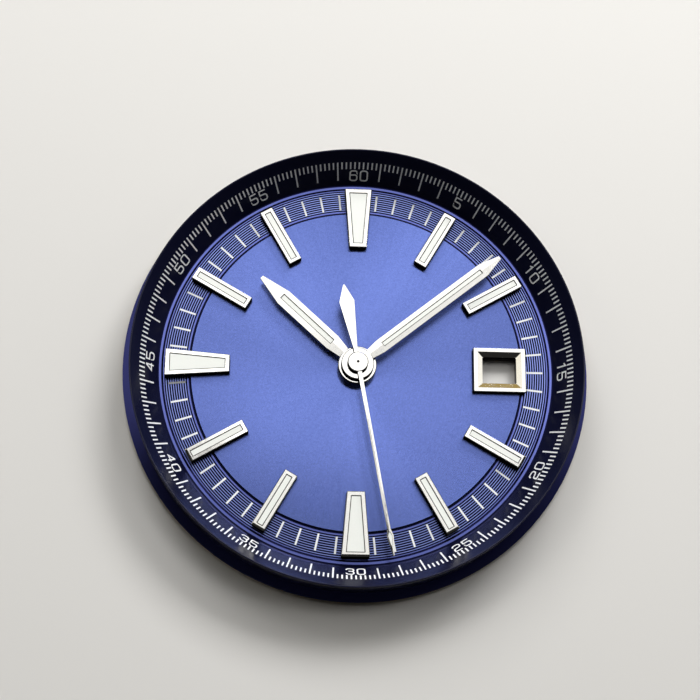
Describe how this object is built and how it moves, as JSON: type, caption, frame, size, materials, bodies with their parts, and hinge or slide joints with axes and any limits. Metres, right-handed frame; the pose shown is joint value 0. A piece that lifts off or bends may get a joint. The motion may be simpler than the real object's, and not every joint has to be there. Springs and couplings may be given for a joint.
{
  "type": "watch dial with hands",
  "caption": "Round blue watch dial with applied luminous markers, framed date window, sloped chapter ring, and hour, minute and seconds hands that turn on the centre.",
  "frame": {"origin": "on the dial's axis, at the plane of the dial plate's back face", "axes": "+Z towards the viewer along the hands' axis, +Y towards 12 o'clock, +X towards 3 o'clock"},
  "size_m": [0.0335, 0.0334, 0.0037],
  "materials": {
    "dial_lacquer": "blue sunburst lacquer over brushed metal",
    "ring_lacquer": "gloss black-navy lacquer with printed scale",
    "polished_metal": "polished, rhodium coloured",
    "lume": "matte luminous paste, pale green-white",
    "pipe_brass": "turned",
    "feet_copper": "turned soft metal"
  },
  "bodies": {
    "dial_body": {"dial_plate": "dial_lacquer", "dial_feet": "feet_copper", "chapter_ring": "ring_lacquer", "date_frame": "polished_metal", "marker_12": "polished_metal", "marker_12_lume": "lume", "marker_01": "polished_metal", "marker_01_lume": "lume", "marker_02": "polished_metal", "marker_02_lume": "lume", "marker_04": "polished_metal", "marker_04_lume": "lume", "marker_05": "polished_metal", "marker_05_lume": "lume", "marker_06": "polished_metal", "marker_06_lume": "lume", "marker_07": "polished_metal", "marker_07_lume": "lume", "marker_08": "polished_metal", "marker_08_lume": "lume", "marker_09": "polished_metal", "marker_09_lume": "lume", "marker_10": "polished_metal", "marker_10_lume": "lume", "marker_11": "polished_metal", "marker_11_lume": "lume"},
    "hour_hand_body": {"hour_hand": "polished_metal", "hour_hand_lume": "lume", "hour_hand_pipe": "pipe_brass"},
    "minute_hand_body": {"minute_hand": "polished_metal", "minute_hand_lume": "lume", "minute_hand_pipe": "pipe_brass"},
    "seconds_hand_body": {"seconds_hand": "polished_metal", "seconds_hand_lume": "lume", "seconds_hand_pipe": "polished_metal"}
  },
  "joints": [
    {"name": "hour_hand_turn", "type": "hinge", "parent": "dial_body", "child": "hour_hand_body", "pos_m": [0, 0, 0.00125], "axis": [0, 0, -1], "continuous": true},
    {"name": "minute_hand_turn", "type": "hinge", "parent": "dial_body", "child": "minute_hand_body", "pos_m": [0, 0, 0.00167], "axis": [0, 0, -1], "continuous": true},
    {"name": "seconds_hand_turn", "type": "hinge", "parent": "dial_body", "child": "seconds_hand_body", "pos_m": [0, 0, 0.00207], "axis": [0, 0, -1], "continuous": true}
  ]
}
